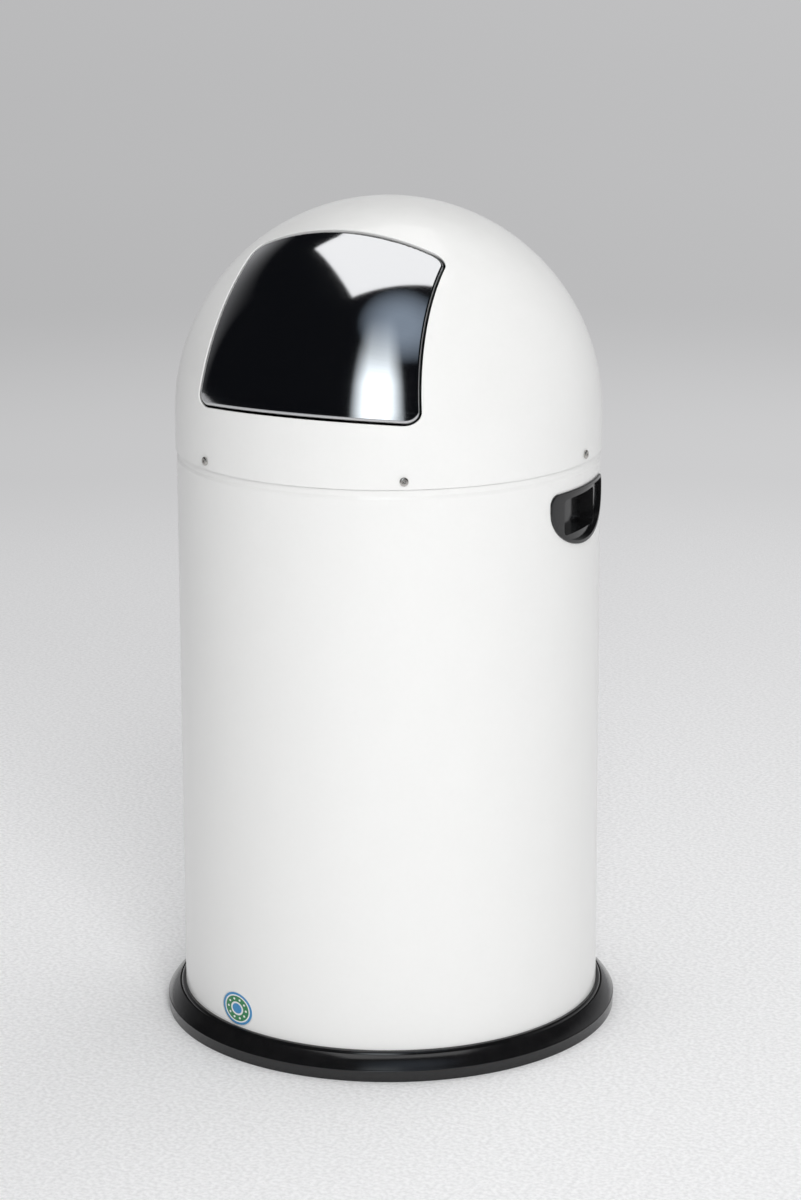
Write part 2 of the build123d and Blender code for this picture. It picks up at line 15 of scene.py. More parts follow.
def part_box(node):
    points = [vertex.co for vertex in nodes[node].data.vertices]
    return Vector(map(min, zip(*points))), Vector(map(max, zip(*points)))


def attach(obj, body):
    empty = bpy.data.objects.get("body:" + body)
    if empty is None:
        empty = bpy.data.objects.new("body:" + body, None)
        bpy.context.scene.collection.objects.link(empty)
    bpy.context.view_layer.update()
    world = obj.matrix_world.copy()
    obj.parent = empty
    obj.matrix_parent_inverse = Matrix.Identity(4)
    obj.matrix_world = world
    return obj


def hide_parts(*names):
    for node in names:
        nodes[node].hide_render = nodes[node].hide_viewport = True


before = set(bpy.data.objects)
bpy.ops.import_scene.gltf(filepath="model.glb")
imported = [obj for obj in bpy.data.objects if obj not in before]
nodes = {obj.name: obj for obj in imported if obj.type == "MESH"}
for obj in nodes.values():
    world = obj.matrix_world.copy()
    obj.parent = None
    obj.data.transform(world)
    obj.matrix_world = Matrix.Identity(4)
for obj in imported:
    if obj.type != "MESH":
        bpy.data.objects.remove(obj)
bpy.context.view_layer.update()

# %% [markdown]
# ## Sizes that this scene shares with the solids
# A finish such as brushing has to follow the shape that it lies on, so it needs the dome's centre
# and radius. They could be measured from the mesh each time. Here they are read from the nodes'
# boxes where that is exact, and written once in metres where it isn't.

# %% Read the main sizes from the nodes
BODY_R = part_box("body_shell")[1].x
RIM_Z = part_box("body_shell")[1].z
DOME_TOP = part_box("dome")[1].z
DOME_R = 0.186
DOME_CENTRE_Z = DOME_TOP - DOME_R
SCREW_Z = 0.519
SCREW_COUNT = 6
FIRST_SCREW = math.radians(-60)
NUT_INNER_R = 0.1793
print(f"body radius {BODY_R:.4f}, rim {RIM_Z:.4f}, dome centre {DOME_CENTRE_Z:.4f}")

# %% [markdown]
# ## Camera
# The picture was taken from about 1.1 metres up, 26 degrees to the right of the flap, with a long
# lens. A camera could be placed by eye, but one fitted to the outlines of rim, base and dome comes
# closer in height and distance. A small shift puts the can near its place in the photograph.

# %% Place the camera
CAMERA_TURN = math.radians(26)
CAMERA_RISE = math.radians(12.69)
CAMERA_AWAY = 2.925
CAMERA_ROLL = -0.0033
AIM_ASIDE, AIM_HEIGHT = 0.0101, 0.4787
FOCUS_PIXELS, PHOTO_HEIGHT = 3340, 1200
SENSOR = 36
SHIFT_UP = -0.10
back = Vector(
    (
        math.sin(CAMERA_TURN) * math.cos(CAMERA_RISE),
        -math.cos(CAMERA_TURN) * math.cos(CAMERA_RISE),
        math.sin(CAMERA_RISE),
    )
)
across = Vector((math.cos(CAMERA_TURN), math.sin(CAMERA_TURN), 0))
aim = across * AIM_ASIDE + Vector((0, 0, AIM_HEIGHT))
upward = back.cross(across)
side = across * math.cos(CAMERA_ROLL) + upward * math.sin(CAMERA_ROLL)
top = back.cross(side)
facing = Matrix((side, top, back)).transposed().to_4x4()

camera_data = bpy.data.cameras.new("camera")
camera_data.lens = FOCUS_PIXELS / PHOTO_HEIGHT * SENSOR
camera_data.sensor_width = SENSOR
camera_data.shift_y = SHIFT_UP
camera = bpy.data.objects.new("camera", camera_data)
camera.matrix_world = Matrix.Translation(aim + back * CAMERA_AWAY) @ facing
bpy.context.scene.collection.objects.link(camera)
bpy.context.scene.camera = camera
print(f"camera {CAMERA_AWAY} m away, lens {camera_data.lens:.1f} mm")

# %% [markdown]
# ## Helpers for node trees
# A material is a graph of nodes, and writing each link in full makes long code. Short helpers keep
# it readable: they add a node, join two sockets, do sums, map a range, mix or lay out colours, add
# a noise, and start or place a group.


# %% Node helpers
def add(tree, kind, **settings):
    """Adds a node and sets its properties by name."""
    node = tree.nodes.new(kind)
    for name, value in settings.items():
        setattr(node, name, value)
    return node


def join(tree, source, target):
    tree.links.new(source, target)


def math_node(tree, operation, first, second=None):
    """Adds a Math node. An argument is a number or another node's output."""
    node = add(tree, "ShaderNodeMath", operation=operation)
    for socket, value in zip(node.inputs, (first, second)):
        if value is None:
            continue
        if isinstance(value, (int, float)):
            socket.default_value = value
        else:
            join(tree, value, socket)
    return node.outputs[0]


def between(tree, value, low, high, to_low=0.0, to_high=1.0):
    """Maps a value from one range to another, and stops at its ends."""
    node = add(tree, "ShaderNodeMapRange")
    join(tree, value, node.inputs["Value"])
    numbers = {"From Min": low, "From Max": high, "To Min": to_low, "To Max": to_high}
    for name, number in numbers.items():
        node.inputs[name].default_value = number
    return node.outputs["Result"]


def mixed(tree, factor, first, second):
    """Mixes two colours by a factor that varies over the surface."""
    node = add(tree, "ShaderNodeMix", data_type="RGBA")
    join(tree, factor, node.inputs["Factor"])
    for socket, value in ((node.inputs[6], first), (node.inputs[7], second)):
        if isinstance(value, tuple):
            socket.default_value = (*value, 1)
        else:
            join(tree, value, socket)
    return node.outputs[2]


def colour_ramp(tree, value, interpolation, stops):
    """Turns a value into a colour. A stop is (position, colour), and the stops are in order."""
    node = add(tree, "ShaderNodeValToRGB")
    node.color_ramp.interpolation = interpolation
    edges = node.color_ramp.elements
    for position, _ in stops[1:-1]:
        edges.new(position)
    for edge, (position, colour) in zip(edges, stops):
        edge.position = position
        edge.color = (*colour, 1)
    join(tree, value, node.inputs[0])
    return node.outputs[0]


def noise(tree, vector, scale=None, detail=None):
    """Adds a noise. A scale or detail that is left out keeps the node's own value."""
    node = add(tree, "ShaderNodeTexNoise")
    join(tree, vector, node.inputs["Vector"])
    if scale is not None:
        node.inputs["Scale"].default_value = scale
    if detail is not None:
        node.inputs["Detail"].default_value = detail
    return node


def new_group(name, inputs, outputs):
    """Starts a shader node group with named sockets."""
    group = bpy.data.node_groups.new(name, "ShaderNodeTree")
    for label, kind, value in inputs:
        socket = group.interface.new_socket(label, in_out="INPUT", socket_type=kind)
        if value is not None:
            socket.default_value = value
    for label in outputs:
        group.interface.new_socket(label, in_out="OUTPUT", socket_type=FLOAT)
    return group, add(group, "NodeGroupInput"), add(group, "NodeGroupOutput")


def place_group(tree, group, vector, **values):
    """Puts a group into a material with its own values."""
    node = add(tree, "ShaderNodeGroup", node_tree=group)
    join(tree, vector, node.inputs["Vector"])
    for name, value in values.items():
        node.inputs[name.replace("_", " ")].default_value = value
    return node


FLOAT, VECTOR = "NodeSocketFloat", "NodeSocketVector"
print("helpers ready, for sockets of", FLOAT, "and", VECTOR)

# %% [markdown]
# ## Shared effect: grain
# Powder coat, moulded plastic, rubber and rolled steel all have a fine uneven surface. The same
# two layers of noise serve for all of them at other scales, so they are one group. It puts out one
# mask, which a material can use for its colour, its roughness or the height of a bump.


# %% Group for fine grain
BROAD_SHARE = 0.13


def make_grain():
    group, start, end = new_group(
        "fine_grain",
        [("Vector", VECTOR, None), ("Scale", FLOAT, 400.0), ("Detail", FLOAT, 3.0)],
        ["Mask"],
    )
    slow = add(group, "ShaderNodeVectorMath", operation="SCALE")
    join(group, start.outputs["Vector"], slow.inputs[0])
    slow.inputs["Scale"].default_value = BROAD_SHARE
    layers = [noise(group, start.outputs["Vector"]), noise(group, slow.outputs[0])]
    for layer in layers:
        join(group, start.outputs["Scale"], layer.inputs["Scale"])
        join(group, start.outputs["Detail"], layer.inputs["Detail"])
    both = math_node(group, "ADD", layers[0].outputs["Fac"], layers[1].outputs["Fac"])
    join(group, math_node(group, "MULTIPLY", both, 0.5), end.inputs["Mask"])
    return group


grain = make_grain()
print("group", grain.name, "has", len(grain.nodes), "nodes")

# %% [markdown]
# ## Shared effect: fine lines
# Polishing, brushing and drawing leave fine lines along one direction. A noise that is stretched
# along the work does this. The group stretches its vector by a named stretch, so the same lines
# serve for the flap, the brackets, the spring wire and the plated screws.


# %% Group for fine lines
def make_lines():
    group, start, end = new_group(
        "fine_lines",
        [("Vector", VECTOR, None), ("Stretch", VECTOR, (4.0, 900.0, 900.0)), ("Detail", FLOAT, 4.0)],
        ["Mask"],
    )
    stretched = add(group, "ShaderNodeVectorMath", operation="MULTIPLY")
    join(group, start.outputs["Vector"], stretched.inputs[0])
    join(group, start.outputs["Stretch"], stretched.inputs[1])
    fine = noise(group, stretched.outputs[0], scale=1.0)
    join(group, start.outputs["Detail"], fine.inputs["Detail"])
    join(group, fine.outputs["Fac"], end.inputs["Mask"])
    return group


lines = make_lines()
print("group", lines.name, "has", len(lines.nodes), "nodes")

# %% [markdown]
# ## Shared effect: settled dust
# A clean can still has a trace of dust where a face looks up. The group reads how far the surface
# faces up and breaks that up with noise. Paint and plastic each give their own strength, and it
# stays faint here, as the photographed can looks new.


# %% Group for dust
def make_dust():
    group, start, end = new_group(
        "settled_dust",
        [("Vector", VECTOR, None), ("Strength", FLOAT, 0.1), ("Scale", FLOAT, 60.0)],
        ["Mask"],
    )
    facing = add(group, "ShaderNodeNewGeometry")
    split = add(group, "ShaderNodeSeparateXYZ")
    join(group, facing.outputs["Normal"], split.inputs[0])
    upwards = between(group, split.outputs["Z"], 0.2, 1.0)
    cloud = noise(group, start.outputs["Vector"], detail=6.0)
    join(group, start.outputs["Scale"], cloud.inputs["Scale"])
    patches = between(group, cloud.outputs["Fac"], 0.35, 0.75)
    settled = math_node(group, "MULTIPLY", upwards, patches)
    join(group, math_node(group, "MULTIPLY", settled, start.outputs["Strength"]), end.inputs["Mask"])
    return group


dust = make_dust()
print("group", dust.name, "has", len(dust.nodes), "nodes")

# %% [markdown]
# ## A start for every finish
# Each finish is a Principled BSDF whose plain numbers are set on its own sockets, because a number
# that comes through a node is lost when the part is exported. Only what varies over the surface
# comes from nodes. Patterns read Object coordinates, or the label's own UV map, so they stay put
# when the part moves.


# %% Start a material
def new_finish(name, colour, roughness, **sockets):
    """Returns the material, its tree, its Principled node and its Object coordinates."""
    material = bpy.data.materials.new(name)
    material.use_nodes = True
    tree = material.node_tree
    tree.nodes.clear()
    shader = add(tree, "ShaderNodeBsdfPrincipled")
    output = add(tree, "ShaderNodeOutputMaterial")
    join(tree, shader.outputs[0], output.inputs[0])
    shader.inputs["Base Color"].default_value = (*colour, 1)
    shader.inputs["Roughness"].default_value = roughness
    for socket, value in sockets.items():
        shader.inputs[socket.replace("_", " ")].default_value = value
    place = add(tree, "ShaderNodeTexCoord").outputs["Object"]
    return material, tree, shader, place


def bumped(tree, shader, height, distance, strength=1.0):
    """Feeds a height into the shader's normal. Distance is the bump's real depth in metres."""
    bump = add(tree, "ShaderNodeBump")
    bump.inputs["Strength"].default_value = strength
    bump.inputs["Distance"].default_value = distance
    join(tree, height, bump.inputs["Height"])
    join(tree, bump.outputs[0], shader.inputs["Normal"])


print("finishes start from one Principled BSDF each")

# %% [markdown]
# ## White paint
# Body and dome are pressed steel with a baked glossy white coat. Such paint isn't perfectly flat:
# it has a faint orange peel a few millimetres wide, which softens reflections. A thin clear coat
# over a rougher base gives the sharp highlight, and a very low bump gives the peel.


# %% White paint
def make_white_paint():
    material, tree, shader, place = new_finish(
        "white_paint_coat", (0.87, 0.87, 0.855), 0.32, Coat_Weight=0.4, Coat_Roughness=0.03, IOR=1.48
    )
    peel = place_group(tree, grain, place, Scale=260.0, Detail=1.5)
    tone = between(tree, peel.outputs["Mask"], 0.3, 0.7)
    film = place_group(tree, dust, place, Strength=0.10, Scale=45.0)
    colour = mixed(tree, tone, (0.862, 0.863, 0.848), (0.876, 0.876, 0.862))
    dusty = mixed(tree, film.outputs["Mask"], colour, (0.60, 0.59, 0.57))
    join(tree, dusty, shader.inputs["Base Color"])
    join(tree, between(tree, peel.outputs["Mask"], 0.25, 0.75, 0.29, 0.36), shader.inputs["Roughness"])
    bumped(tree, shader, peel.outputs["Mask"], 0.00004, 0.5)
    return material


white_paint = make_white_paint()
print(white_paint.name, "nodes:", len(white_paint.node_tree.nodes))

# %% [markdown]
# ## Polished stainless steel
# The flap is stainless sheet with a bright finish and very fine lines across it, so it is nearly a
# mirror. The lines run level along the dome's curve, so the pattern is laid out by the turn round
# the dome's level axis, not by height. Faint smudges make the gloss a little uneven.


# %% Stainless steel
def curved_place(tree, place):
    """Object coordinates laid out as distance across, arc up the dome, and depth."""
    split = add(tree, "ShaderNodeSeparateXYZ")
    join(tree, place, split.inputs[0])
    rise = math_node(tree, "SUBTRACT", split.outputs["Z"], DOME_CENTRE_Z)
    forward = math_node(tree, "MULTIPLY", split.outputs["Y"], -1.0)
    turn = math_node(tree, "ARCTAN2", rise, forward)
    arc = math_node(tree, "MULTIPLY", turn, DOME_R)
    laid = add(tree, "ShaderNodeCombineXYZ")
    join(tree, split.outputs["X"], laid.inputs[0])
    join(tree, arc, laid.inputs[1])
    return laid.outputs[0]


def make_stainless():
    material, tree, shader, place = new_finish("polished_stainless", (0.66, 0.665, 0.68), 0.09, Metallic=1.0)
    laid = curved_place(tree, place)
    brushed = place_group(tree, lines, laid, Stretch=(2.5, 1700.0, 0.0), Detail=3.0)
    smudge = noise(tree, place, scale=14.0, detail=5.0)
    streak = between(tree, brushed.outputs["Mask"], 0.3, 0.7)
    tone = mixed(tree, streak, (0.635, 0.64, 0.66), (0.685, 0.69, 0.695))
    join(tree, tone, shader.inputs["Base Color"])
    rough = math_node(
        tree,
        "ADD",
        between(tree, brushed.outputs["Mask"], 0.25, 0.75, 0.045, 0.10),
        between(tree, smudge.outputs["Fac"], 0.5, 0.8, 0.0, 0.03),
    )
    join(tree, rough, shader.inputs["Roughness"])
    bumped(tree, shader, brushed.outputs["Mask"], 0.000004, 1.0)
    return material


stainless = make_stainless()
print(stainless.name, "nodes:", len(stainless.node_tree.nodes))

# %% [markdown]
# ## Black moulded plastic
# The foot ring, grips, collar and the bail's grip are injection-moulded in black. The surface is
# glossy with a fine grain, and the colour is a very dark grey, not black, so that it keeps its
# shape in the render. A slight change of gloss in patches is what tells it from paint.


# %% Black plastic
def make_black_plastic():
    material, tree, shader, place = new_finish(
        "black_moulded_plastic", (0.006, 0.006, 0.0065), 0.16, Specular_IOR_Level=0.65
    )
    cells = place_group(tree, grain, place, Scale=1500.0, Detail=2.0)
    film = place_group(tree, dust, place, Strength=0.06, Scale=70.0)
    fleck = between(tree, cells.outputs["Mask"], 0.3, 0.7)
    colour = mixed(tree, fleck, (0.0045, 0.0045, 0.005), (0.0085, 0.0085, 0.009))
    join(tree, mixed(tree, film.outputs["Mask"], colour, (0.10, 0.097, 0.092)), shader.inputs["Base Color"])
    patches = noise(tree, place, scale=9.0, detail=4.0)
    join(tree, between(tree, patches.outputs["Fac"], 0.3, 0.7, 0.12, 0.19), shader.inputs["Roughness"])
    bumped(tree, shader, cells.outputs["Mask"], 0.00005, 0.6)
    return material


black_plastic = make_black_plastic()
print(black_plastic.name, "nodes:", len(black_plastic.node_tree.nodes))

# %% [markdown]
# ## Galvanised steel
# The bucket is hot-dipped zinc on steel sheet. Zinc freezes in flakes, each with its own tilt and
# grey, which people call spangle. A Voronoi texture gives each flake a random colour. Its red part
# sets how pale the flake is, and its green part sets how rough.


# %% Zinc
def make_zinc():
    material, tree, shader, place = new_finish("galvanised_zinc", (0.52, 0.53, 0.54), 0.42, Metallic=0.9)
    warp = noise(tree, place, scale=90.0)
    moved = add(tree, "ShaderNodeMix", data_type="VECTOR")
    moved.inputs["Factor"].default_value = 0.012
    join(tree, place, moved.inputs[4])
    join(tree, warp.outputs["Color"], moved.inputs[5])
    flakes = add(tree, "ShaderNodeTexVoronoi")
    flakes.inputs["Scale"].default_value = 95.0
    join(tree, moved.outputs[1], flakes.inputs["Vector"])
    one = add(tree, "ShaderNodeSeparateColor")
    join(tree, flakes.outputs["Color"], one.inputs[0])
    colour = mixed(tree, one.outputs["Red"], (0.40, 0.41, 0.42), (0.66, 0.67, 0.68))
    join(tree, colour, shader.inputs["Base Color"])
    join(tree, between(tree, one.outputs["Green"], 0.0, 1.0, 0.28, 0.52), shader.inputs["Roughness"])
    bumped(tree, shader, flakes.outputs["Distance"], 0.00006, 0.35)
    return material


zinc = make_zinc()
print(zinc.name, "nodes:", len(zinc.node_tree.nodes))

# %% [markdown]
# ## Small metals and rubber
# Pressed brackets are bare rolled steel, springs are oiled wire, screws and nuts are nickel plated,
# and the buffers are rubber. They differ in colour, gloss and the direction of their lines, so one
# maker with named values serves for the metals.


# %% Small metals
def make_metal(name, dark, light, rough_low, rough_high, stretch, depth):
    material, tree, shader, place = new_finish(name, light, rough_high, Metallic=1.0)
    worked = place_group(tree, lines, place, Stretch=stretch, Detail=3.0)
    blotch = place_group(tree, grain, place, Scale=120.0, Detail=4.0)
    both = math_node(tree, "ADD", worked.outputs["Mask"], blotch.outputs["Mask"])
    both = math_node(tree, "MULTIPLY", both, 0.5)
    join(tree, mixed(tree, between(tree, both, 0.35, 0.65), dark, light), shader.inputs["Base Color"])
    join(tree, between(tree, both, 0.3, 0.7, rough_high, rough_low), shader.inputs["Roughness"])
    bumped(tree, shader, worked.outputs["Mask"], depth, 0.6)
    return material


raw_steel = make_metal(
    "rolled_steel",
    dark=(0.30, 0.30, 0.31),
    light=(0.46, 0.46, 0.47),
    rough_low=0.28,
    rough_high=0.45,
    stretch=(500.0, 30.0, 500.0),
    depth=2e-5,
)
spring_steel = make_metal(
    "oiled_wire",
    dark=(0.16, 0.155, 0.15),
    light=(0.32, 0.31, 0.30),
    rough_low=0.20,
    rough_high=0.32,
    stretch=(900.0, 60.0, 60.0),
    depth=1e-5,
)
bright_plate = make_metal(
    "nickel_plate",
    dark=(0.42, 0.41, 0.39),
    light=(0.62, 0.60, 0.57),
    rough_low=0.10,
    rough_high=0.22,
    stretch=(700.0, 700.0, 90.0),
    depth=8e-6,
)
for material in (raw_steel, spring_steel, bright_plate):
    print(material.name, "nodes:", len(material.node_tree.nodes))


# %% Rubber
def make_rubber():
    material, tree, shader, place = new_finish("black_rubber_buffer", (0.02, 0.02, 0.02), 0.75)
    skin = place_group(tree, grain, place, Scale=900.0, Detail=5.0)
    bloom = between(tree, skin.outputs["Mask"], 0.35, 0.65)
    colour = mixed(tree, bloom, (0.014, 0.014, 0.014), (0.034, 0.033, 0.032))
    join(tree, colour, shader.inputs["Base Color"])
    join(tree, between(tree, skin.outputs["Mask"], 0.3, 0.7, 0.62, 0.82), shader.inputs["Roughness"])
    bumped(tree, shader, skin.outputs["Mask"], 0.0001, 0.7)
    return material


rubber = make_rubber()
print(rubber.name, "nodes:", len(rubber.node_tree.nodes))

# %% [markdown]
# ## Put the finishes on the carried-over nodes
# Most of the solids have the right shape, so their objects stay and only the material slots change.
# The record names a slot for each node, so a table from slot to finish is enough. The few that get
# a finer shape are replaced further down.

# %% Assign finishes by slot
FINISH = {
    "white_paint": white_paint,
    "stainless": stainless,
    "black_plastic": black_plastic,
    "zinc": zinc,
    "raw_steel": raw_steel,
    "spring_steel": spring_steel,
    "bright_plate": bright_plate,
    "black_rubber": rubber,
}
for name, node in nodes.items():
    for slot in node.material_slots:
        slot.material = FINISH[slot.material.name.split(".")[0]]
print("finishes on", sum(len(n.material_slots) for n in nodes.values()), "slots")

# %% [markdown]
# ## A screw and a nut as meshes
# The dome is held by pan-head screws with a cross recess. A screw could be carved with booleans,
# but a lathe whose rings may leave the round is cleaner: every ring has the same number of points,
# and inside the head the rings take the shape of a cross. One list of rings gives the whole screw.


# %% Lathe with a cross recess
CROSS_TURNS = [
    quarter * 90 + step for quarter in range(4) for step in (-45, -34, -24, -16, -8, 0, 8, 16, 24, 34)
]


def cross_reach(turn, length, half_width):
    """How far a cross reaches at a turn: to the arm's end, or to the corner between two arms."""
    off = math.radians((turn + 45) % 90 - 45)
    along = length / math.cos(off)
    beside = half_width / max(abs(math.sin(off)), 1e-6)
    return min(along, beside)


def lathe_mesh(name, rings, turns, closed=False):
    """Joins rings of points round the Z axis. A ring is (height, radius or function of the turn)."""
    shape = bmesh.new()
    loops = []
    for height, radius in rings:
        loop = []
        for turn in turns:
            reach = radius(turn) if callable(radius) else radius
            angle = math.radians(turn)
            loop.append(shape.verts.new((reach * math.cos(angle), reach * math.sin(angle), height)))
        loops.append(loop)
    count = len(turns)
    pairs = list(zip(loops, loops[1:])) + ([(loops[-1], loops[0])] if closed else [])
    for low, high in pairs:
        for i in range(count):
            j = (i + 1) % count
            shape.faces.new((low[i], low[j], high[j], high[i]))
    if not closed:
        shape.faces.new(list(reversed(loops[0])))
        shape.faces.new(loops[-1])
    bmesh.ops.recalc_face_normals(shape, faces=shape.faces)
    mesh = bpy.data.meshes.new(name)
    shape.to_mesh(mesh)
    shape.free()
    return mesh


def smoothed(mesh, angle=32):
    """Shades a mesh smooth, with its edges sharp where the faces turn by more than the angle."""
    shape = bmesh.new()
    shape.from_mesh(mesh)
    for face in shape.faces:
        face.smooth = True
    for edge in shape.edges:
        edge.smooth = len(edge.link_faces) == 2 and edge.calc_face_angle(0) < math.radians(angle)
    shape.to_mesh(mesh)
    shape.free()
    return mesh


print("a cross ring has", len(CROSS_TURNS), "points")

# %% [markdown]
# ## The screw's own rings
# From the tip up: the thread as small ridges, a plain neck, the flat under the head, the round
# side, the pan top, and then the tapered recess down to its floor. The template lies along
# Z with the head's underside at zero, so an instance only has to be turned outwards.


# %% Screw template
def screw_rings():
    """Pairs of height and reach in metres. Zero is the underside of the head."""
    shank, pitch, tip, thread_end, neck = 0.00198, 0.0007, -0.0088, -0.0022, -0.0018
    rings = [(tip, shank * 0.72), (tip + 0.0004, shank * 0.94)]
    height = tip + 0.0006
    while height < thread_end:
        rings += [(height, shank * 0.90), (height + pitch * 0.5, shank)]
        height += pitch
    rings += [(neck, shank), (0.0, shank)]
    head, thick = 0.0038, 0.0020
    rings += [(0.0, head * 0.97), (0.0003, head)]
    for step in range(1, 7):
        angle = math.radians(15 * step)
        rings.append((0.0008 + 0.0012 * math.sin(angle), head - 0.0013 * (1 - math.cos(angle))))
    rings.append((thick + 0.00006, head * 0.50))
    recess = (
        (0.00008, 0.00182, 0.00044),
        (-0.00012, 0.00168, 0.00036),
        (-0.0011, 0.00095, 0.00026),
        (-0.0013, 0.0004, 0.0002),
    )
    for rise, length, half_width in recess:
        rings.append((thick + rise, partial(cross_reach, length=length, half_width=half_width)))
    return rings


screw_mesh = smoothed(lathe_mesh("screw_template", screw_rings(), CROSS_TURNS))
print("screw template:", len(screw_mesh.polygons), "faces")

# %% [markdown]
# ## The nut's rings
# A hexagon is a lathe whose reach changes with the turn, and the corners are turned off by taking
# the smaller of the hexagon and a circle. The rings then come back down the threaded bore, and the
# last one joins the first.

# %% Nut template
HEX_TURNS = list(range(0, 360, 10))


def hexagon(flats, corner):
    """The reach of a hexagon of that width between flats, cut off at a corner radius."""
    return lambda turn: min(flats / 2 / math.cos(math.radians(turn % 60 - 30)), corner)


def nut_rings():
    """Pairs of height and reach in metres, up the outside and back down through the thread."""
    flats, thick, bore, face_r = 0.007, 0.0032, 0.00202, 0.0033
    pitch, groove = 0.0005, 0.0002
    rings = [(0.0, bore + 0.0003), (0.0, face_r)]
    rings += [(0.0004, hexagon(flats, 0.0039)), (0.0008, hexagon(flats, 0.0041))]
    rings += [(thick - z, reach) for z, reach in reversed(rings)]
    height = thick - 0.0003
    while height > 0.0004:
        rings += [(height, bore), (height - groove, bore + groove)]
        height -= pitch
    return rings


nut_mesh = smoothed(lathe_mesh("nut_template", nut_rings(), HEX_TURNS, closed=True))
print("nut template:", len(nut_mesh.polygons), "faces")

# %% [markdown]
# ## A ring of fasteners with Geometry Nodes
# The six screws sit evenly on a circle round the dome and point outwards. They could be six copies
# made in a loop. A Geometry Nodes tree states the rule once: points on a circle, each with an
# instance of the template, turned to face away from the axis. Count, radius and height are inputs.


# %% Tree for a ring of fasteners
def ring_tree():
    tree = bpy.data.node_groups.new("fastener_ring", "GeometryNodeTree")
    face = tree.interface
    inputs = (
        ("Template", "Object", None),
        ("Count", "Int", 6),
        ("Radius", "Float", 0.1),
        ("Height", "Float", 0.0),
        ("First turn", "Float", 0.0),
        ("Twist", "Float", 0.0),
        ("Seed", "Int", 4),
        ("Finish", "Material", None),
    )
    for label, kind, value in inputs:
        socket = face.new_socket(label, in_out="INPUT", socket_type="NodeSocket" + kind)
        if value is not None:
            socket.default_value = value
    face.new_socket("Geometry", in_out="OUTPUT", socket_type="NodeSocketGeometry")
    start, end = add(tree, "NodeGroupInput"), add(tree, "NodeGroupOutput")
    points = add(tree, "GeometryNodePoints")
    join(tree, start.outputs["Count"], points.inputs["Count"])
    index = add(tree, "GeometryNodeInputIndex")
    share = add(tree, "ShaderNodeMath", operation="DIVIDE")
    join(tree, index.outputs[0], share.inputs[0])
    join(tree, start.outputs["Count"], share.inputs[1])
    turn = add(tree, "ShaderNodeMath", operation="MULTIPLY_ADD")
    join(tree, share.outputs[0], turn.inputs[0])
    turn.inputs[1].default_value = 2 * math.pi
    join(tree, start.outputs["First turn"], turn.inputs[2])
    cosine = add(tree, "ShaderNodeMath", operation="COSINE")
    sine = add(tree, "ShaderNodeMath", operation="SINE")
    join(tree, turn.outputs[0], cosine.inputs[0])
    join(tree, turn.outputs[0], sine.inputs[0])
    outward = add(tree, "ShaderNodeCombineXYZ")
    join(tree, cosine.outputs[0], outward.inputs[0])
    join(tree, sine.outputs[0], outward.inputs[1])
    reach = add(tree, "ShaderNodeVectorMath", operation="SCALE")
    join(tree, outward.outputs[0], reach.inputs[0])
    join(tree, start.outputs["Radius"], reach.inputs["Scale"])
    lift = add(tree, "ShaderNodeCombineXYZ")
    join(tree, start.outputs["Height"], lift.inputs[2])
    place = add(tree, "ShaderNodeVectorMath", operation="ADD")
    join(tree, reach.outputs[0], place.inputs[0])
    join(tree, lift.outputs[0], place.inputs[1])
    moved = add(tree, "GeometryNodeSetPosition")
    join(tree, points.outputs[0], moved.inputs["Geometry"])
    join(tree, place.outputs[0], moved.inputs["Position"])
    template = add(tree, "GeometryNodeObjectInfo")
    join(tree, start.outputs["Template"], template.inputs["Object"])
    random = add(tree, "FunctionNodeRandomValue", data_type="FLOAT")
    join(tree, start.outputs["Twist"], random.inputs[3])
    join(tree, start.outputs["Seed"], random.inputs["Seed"])
    own = add(tree, "ShaderNodeCombineXYZ")
    join(tree, random.outputs[1], own.inputs[2])
    spun = add(tree, "FunctionNodeEulerToRotation")
    join(tree, own.outputs[0], spun.inputs[0])
    aimed = add(tree, "FunctionNodeAlignRotationToVector", axis="Z")
    join(tree, outward.outputs[0], aimed.inputs["Vector"])
    turned = add(tree, "FunctionNodeRotateRotation", rotation_space="LOCAL")
    join(tree, aimed.outputs[0], turned.inputs[0])
    join(tree, spun.outputs[0], turned.inputs[1])
    instances = add(tree, "GeometryNodeInstanceOnPoints")
    join(tree, moved.outputs[0], instances.inputs["Points"])
    join(tree, template.outputs["Geometry"], instances.inputs["Instance"])
    join(tree, turned.outputs[0], instances.inputs["Rotation"])
    real = add(tree, "GeometryNodeRealizeInstances")
    join(tree, instances.outputs[0], real.inputs[0])
    finish = add(tree, "GeometryNodeSetMaterial")
    join(tree, real.outputs[0], finish.inputs["Geometry"])
    join(tree, start.outputs["Finish"], finish.inputs["Material"])
    join(tree, finish.outputs[0], end.inputs["Geometry"])
    return tree


fastener_ring = ring_tree()
print("tree", fastener_ring.name, "has", len(fastener_ring.nodes), "nodes")


# %% [markdown]
# ## From a tree to a plain piece
# The export wants a plain mesh with no live modifier. The helper puts the tree on a carrier object,
# sets each input by its identifier before anything is evaluated, takes the evaluated mesh, and
# removes the carrier and the template.


